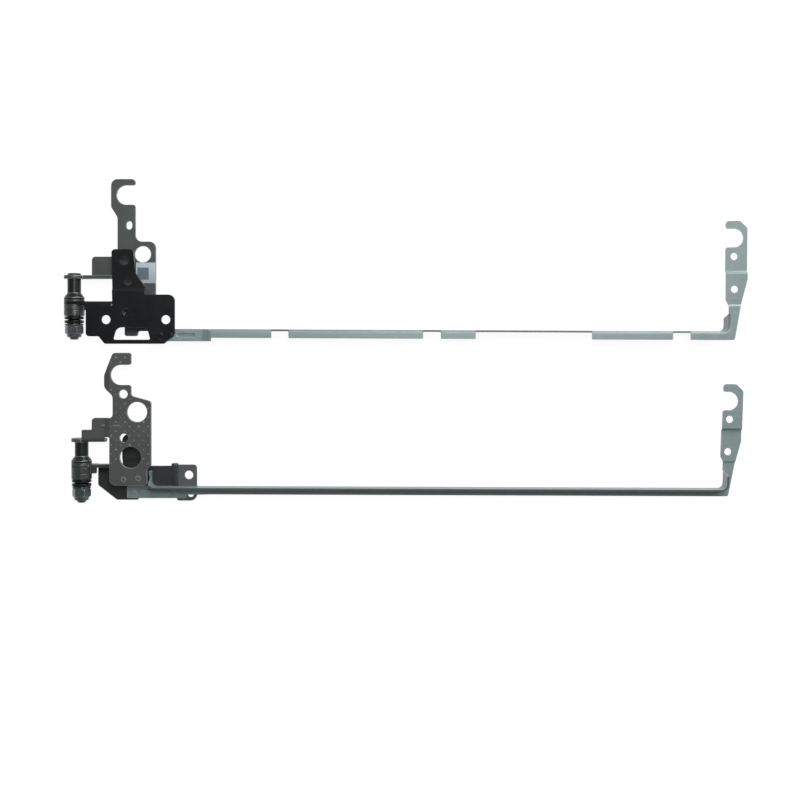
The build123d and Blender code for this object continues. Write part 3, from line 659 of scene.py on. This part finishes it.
class HINGES_OT_base_brackets(Operator):
    """Finish both base brackets, with flattening pits pressed into the right one"""

    bl_idname = "hinges.base_brackets"
    bl_label = "Base brackets"

    def execute(self, context):
        sizes, colours = settings(context)
        steel, bare = colours.base_steel, colours.base_wear
        left = rolled_sheet("left_base_plate", steel, bare, roughness=0.45, metallic=0.45)
        steel, bare = colours.pitted_steel, colours.pitted_wear
        right = rolled_sheet(
            "right_base_plate", steel, bare, roughness=0.5, metallic=0.4, scratches=SCRATCHES
        )
        dress("left_base_bracket", left, self.sheared("left_base_bracket", sizes))
        pressed = self.sheared("right_base_bracket", sizes)
        plate = dress("right_base_bracket", right, pressed)
        self.press(plate, sizes)
        return {"FINISHED"}

    def sheared(self, node_name, sizes):
        """Softened bracket with bare sheared edges."""
        mesh = softened(node_name, sizes)
        mark_sheared(mesh, sizes.base_edge, sizes.sheared_wear)
        return mesh

    def pit_places(self, plate, sizes):
        """Points of a staggered pattern on the plate's upper face that lie clear of every edge."""
        low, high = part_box("right_base_bracket")
        tree = BVHTree.FromObject(plate, bpy.context.evaluated_depsgraph_get())
        row_pitch = sizes.pit_pitch / 2
        rows = int((high.y - low.y - sizes.pit_floor) / row_pitch)
        columns = int((high.x - low.x) / sizes.pit_pitch)
        reach = sizes.pit_width / 2 + sizes.pit_margin
        turns = [math.tau * step / PIT_SIDES for step in range(PIT_SIDES)]
        around = [Vector((0, 0, 0))] + [Vector((math.cos(turn), math.sin(turn), 0)) * reach for turn in turns]
        places = []
        for row in range(rows):
            for column in range(columns + 1):
                shift = sizes.pit_shift + (row_pitch if row % 2 else 0)
                spot = Vector((high.x - column * sizes.pit_pitch - shift, high.y - row * row_pitch, high.z))
                starts = [spot + step + Vector((0, 0, row_pitch)) for step in around]
                hits = [tree.ray_cast(start, Vector((0, 0, -1)))[0] for start in starts]
                if all(hit and abs(hit.z - high.z) < sizes.weld_gap for hit in hits):
                    places.append(spot)
        return places

    def add_pit(self, cutters, place, width, depth):
        """Pointed cutter that leaves a pit of a given width and depth."""
        spread = 1.2
        lift = (spread / 2 - 1) * depth
        bmesh.ops.create_cone(
            cutters,
            cap_ends=True,
            segments=PIT_SIDES,
            radius1=0,
            radius2=spread * width / 2,
            depth=spread * depth,
            matrix=Matrix.Translation(place + Vector((0, 0, lift))),
        )

    def add_ring(self, cutters, place, radius, width, depth):
        """Ring-shaped cutter that leaves a pointed round groove of a given width and depth."""
        profile = ((radius - width, depth), (radius + width, depth), (radius, -depth))
        rings = []
        for step in range(RING_STEPS):
            turn = math.tau * step / RING_STEPS
            out = Vector((math.cos(turn), math.sin(turn), 0))
            points = [place + out * reach + Vector((0, 0, rise)) for reach, rise in profile]
            rings.append([cutters.verts.new(point) for point in points])
        for step in range(RING_STEPS):
            ring, following = rings[step - 1], rings[step]
            for side in range(len(profile)):
                cutters.faces.new((ring[side - 1], ring[side], following[side], following[side - 1]))

    def press(self, plate, sizes):
        """Presses the pits and two plain punched rings into the plate and marks their slopes as bright."""
        chance = random.Random(PIT_SEED)
        cutters = bmesh.new()
        marks = []
        for place in self.pit_places(plate, sizes):
            scale = chance.uniform(*PIT_SCALES)
            self.add_pit(cutters, place, scale * sizes.pit_width, scale * sizes.pit_depth)
            marks.append((place, sizes.pit_width / 2, chance.uniform(*PIT_WEAR)))
        low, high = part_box("right_base_bracket")
        for inward, upward in PUNCH_MARKS:
            place = Vector((high.x - inward * MM, low.y + upward * MM, high.z))
            self.add_ring(cutters, place, sizes.mark_radius, sizes.mark_width, sizes.mark_depth)
            marks.append((place, sizes.mark_radius + sizes.mark_width, RING_WEAR))
        bmesh.ops.recalc_face_normals(cutters, faces=cutters.faces)
        self.cut_away(plate, cutters)
        self.brighten(plate.data, marks)

    def cut_away(self, plate, cutters):
        """Takes the cutters' shapes out of the plate."""
        data = bpy.data.meshes.new("punches")
        cutters.to_mesh(data)
        cutters.free()
        cutter = bpy.data.objects.new("punches", data)
        bpy.context.scene.collection.objects.link(cutter)
        cut = plate.modifiers.new("punches", "BOOLEAN")
        cut.operation = "DIFFERENCE"
        cut.solver = "EXACT"
        cut.object = cutter
        plate.modifiers.move(len(plate.modifiers) - 1, 0)
        pressed = bpy.data.meshes.new_from_object(plate.evaluated_get(bpy.context.evaluated_depsgraph_get()))
        plate.modifiers.clear()
        bpy.data.objects.remove(cutter)
        plate.data = pressed

    def brighten(self, pressed, marks):
        """Marks the slopes of the punched places as bare."""
        mesh = bmesh.new()
        mesh.from_mesh(pressed)
        layer = wear_layer(mesh)
        steepest, flattest = SLOPING
        sloping = [face for face in mesh.faces if steepest < face.normal.z < flattest]
        for face in sloping:
            middle = face.calc_center_median()
            for place, reach, amount in marks:
                if (middle - place).length < reach:
                    face[layer] = amount
        mesh.to_mesh(pressed)
        mesh.free()


class HINGES_OT_lid_brackets(Operator):
    """Finish both lid brackets"""

    bl_idname = "hinges.lid_brackets"
    bl_label = "Lid brackets"

    def execute(self, context):
        sizes, colours = settings(context)
        left = black_sheet("left_lid_plate", colours)
        low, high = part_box("right_lid_bracket")
        # Painted light on the right bracket's end, from here on along x.
        painted_light_from = (high.x - sizes.painted_light_width) / MM
        dark, rubbed, pale = colours.dark_coat, colours.dark_wear, colours.painted_light_end
        right = coated_sheet(
            "right_lid_plate",
            dark,
            rubbed,
            roughness=0.45,
            metallic=0.2,
            specular=0.3,
            painted_light_tone=pale,
            painted_light_from=painted_light_from,
        )
        for hand, coat in (("left", left), ("right", right)):
            mesh = softened(f"{hand}_lid_bracket", sizes, *rivet_spots(hand))
            dress(f"{hand}_lid_bracket", coat, mesh)
        return {"FINISHED"}


class HINGES_OT_rails(Operator):
    """Finish both side rails"""

    bl_idname = "hinges.rails"
    bl_label = "Side rails"

    def execute(self, context):
        sizes, colours = settings(context)
        zinc = zinc_sheet("rail_zinc", colours)
        for hand in ("left", "right"):
            low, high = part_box(f"{hand}_rail")
            free_height = low.z if hand == "left" else high.z
            mesh = softened(f"{hand}_rail", sizes, *rivet_spots(hand))
            mark_sheared(mesh, sizes.rail_edge, CUT_EDGE_AND_SHADE)
            mark_free_edge(mesh, free_height, sizes.edge_break)
            self.darken_notches(mesh, sizes, high)
            # Painted shade: the flange's lower edge, facing away from the light, is painted dark.
            self.paint_shade_on_lower_edge(mesh, sizes, high)
            dress(f"{hand}_rail", zinc, mesh)
        return {"FINISHED"}

    def notch_spans(self, mesh, sizes, high):
        """Start and end of each notch in a rail's upper flange, from the cut faces that look along it."""
        ends = []
        for face in mesh.faces:
            middle = face.calc_center_median()
            in_flange = high.z - middle.z < sizes.rail_edge and high.x - middle.x > sizes.arm_span
            looks_along = abs(face.normal.x) > STRAIGHT_ALONG
            if in_flange and looks_along and face.calc_area() > sizes.rail_edge**2 / 2:
                ends.append((middle.x, face.normal.x < 0))
        ends.sort()
        pairs = zip(ends, ends[1:])
        return [(start, end) for (start, inward), (end, closing) in pairs if closing and not inward]

    def darken_notches(self, mesh, sizes, high):
        """Marks the top of the wall as a cut edge wherever a notch has taken the flange away."""
        for start, end in self.notch_spans(mesh, sizes, high):
            for x in (start, end):
                parts = list(mesh.verts) + list(mesh.edges) + list(mesh.faces)
                bmesh.ops.bisect_plane(mesh, geom=parts, plane_co=(x, 0, 0), plane_no=(1, 0, 0))
            self.mark_wall_top(mesh, start, end, high.z - sizes.rail_bend)

    def mark_wall_top(self, mesh, start, end, floor):
        """Marks what lies above a height between two places along the rail as cut."""
        mark(mesh, CUT_EDGE_AND_SHADE, lambda face, middle: start < middle.x < end and middle.z > floor)

    def paint_shade_on_lower_edge(self, mesh, sizes, high):
        """Paints shade on the broken edge along the flange's free side that faces away from the light, where
        the flange is on top, using the dark cut-edge mark.
        """
        layer = wear_layer(mesh)
        floor = high.z - 2 * sizes.edge_break
        mark(
            mesh,
            CUT_EDGE_AND_SHADE,
            lambda face, middle: middle.z > floor and face[layer] and face.normal.y < -FACING,
        )


class HINGES_OT_rail_rivets(Operator):
    """Finish the rivets that hold the rails' tabs"""

    bl_idname = "hinges.rail_rivets"
    bl_label = "Rail rivets"

    def execute(self, context):
        sizes, colours = settings(context)
        coats = {
            "left": black_sheet("left_rivet_coat", colours),
            "right": zinc_sheet("right_rivet_zinc", colours),
        }
        for hand, coat in coats.items():
            mesh = softened(f"{hand}_rail_rivets", sizes, *rivet_spots(hand))
            dress(f"{hand}_rail_rivets", coat, mesh)
        return {"FINISHED"}


class HINGES_OT_friction_stacks(Operator):
    """Finish the shafts, and the discs, springs, washers and nuts on them"""

    bl_idname = "hinges.friction_stacks"
    bl_label = "Shafts and friction stacks"

    def execute(self, context):
        sizes, colours = settings(context)
        shaft = turned_steel("shaft_steel", colours.shaft, colours.bright, roughness=0.34)
        disc = turned_steel("disc_steel", colours.disc, colours.bright, roughness=0.3)
        spring = turned_steel("spring_steel", colours.spring, colours.spring_wear, roughness=0.3)
        nut = turned_steel("nut_steel", colours.nut, colours.bright, roughness=0.34)
        finishes = {
            "hinge_shaft": (shaft, "shaft_steel"),
            "thrust_washer": (disc, "disc_steel"),
            "friction_disc": (disc, "disc_steel"),
            "pressure_disc": (disc, "disc_steel"),
            "end_washer": (disc, "disc_steel"),
            "lock_nut": (nut, "nut_steel"),
        }
        finishes |= {f"spring_washer_{number}": (spring, "spring_steel") for number in range(1, 5)}
        for hand in ("left", "right"):
            for piece, (material, slot) in finishes.items():
                dress(f"{hand}_{piece}", material, softened(f"{hand}_{piece}", sizes))
        return {"FINISHED"}


class HINGES_OT_label(Operator):
    """Finish the bare label on the left base bracket"""

    bl_idname = "hinges.label"
    bl_label = "Label"

    def execute(self, context):
        colours = context.scene.hinge_colours
        film = label_film(colours.label, colours.label_field)
        label = frame["nodes"]["left_label"]
        label.data.materials.clear()
        label.data.materials.append(film)
        return {"FINISHED"}


STEPS = (
    HINGES_OT_stage,
    HINGES_OT_base_brackets,
    HINGES_OT_lid_brackets,
    HINGES_OT_rails,
    HINGES_OT_rail_rivets,
    HINGES_OT_friction_stacks,
    HINGES_OT_label,
)


class HINGES_PT_finishes(Panel):
    """Every step of the dressing, in order"""

    bl_idname = "HINGES_PT_finishes"
    bl_label = "Laptop hinge pair"
    bl_space_type = "VIEW_3D"
    bl_region_type = "UI"
    bl_category = "Hinges"

    def draw(self, context):
        for step in STEPS:
            self.layout.operator(step.bl_idname)
        for group in (context.scene.hinge_sizes, context.scene.hinge_colours, context.scene.hinge_stage):
            column = self.layout.column()
            for name in group.bl_rna.properties.keys():
                if name not in ("rna_type", "name"):
                    column.prop(group, name)


CLASSES = (HingeSizes, HingeColours, StageSizes) + STEPS + (HINGES_PT_finishes,)


def register():
    """Adds the classes and the scene's settings."""
    for item in CLASSES:
        bpy.utils.register_class(item)
    bpy.types.Scene.hinge_sizes = PointerProperty(type=HingeSizes)
    bpy.types.Scene.hinge_colours = PointerProperty(type=HingeColours)
    bpy.types.Scene.hinge_stage = PointerProperty(type=StageSizes)


def unregister():
    """Takes the classes and settings away again."""
    del bpy.types.Scene.hinge_stage
    del bpy.types.Scene.hinge_colours
    del bpy.types.Scene.hinge_sizes
    for item in reversed(CLASSES):
        bpy.utils.unregister_class(item)


def main():
    """Dresses the pair."""
    register()
    bpy.ops.hinges.stage()
    bpy.ops.hinges.base_brackets()
    bpy.ops.hinges.lid_brackets()
    bpy.ops.hinges.rails()
    bpy.ops.hinges.rail_rivets()
    bpy.ops.hinges.friction_stacks()
    bpy.ops.hinges.label()


if __name__ == "__main__":
    main()
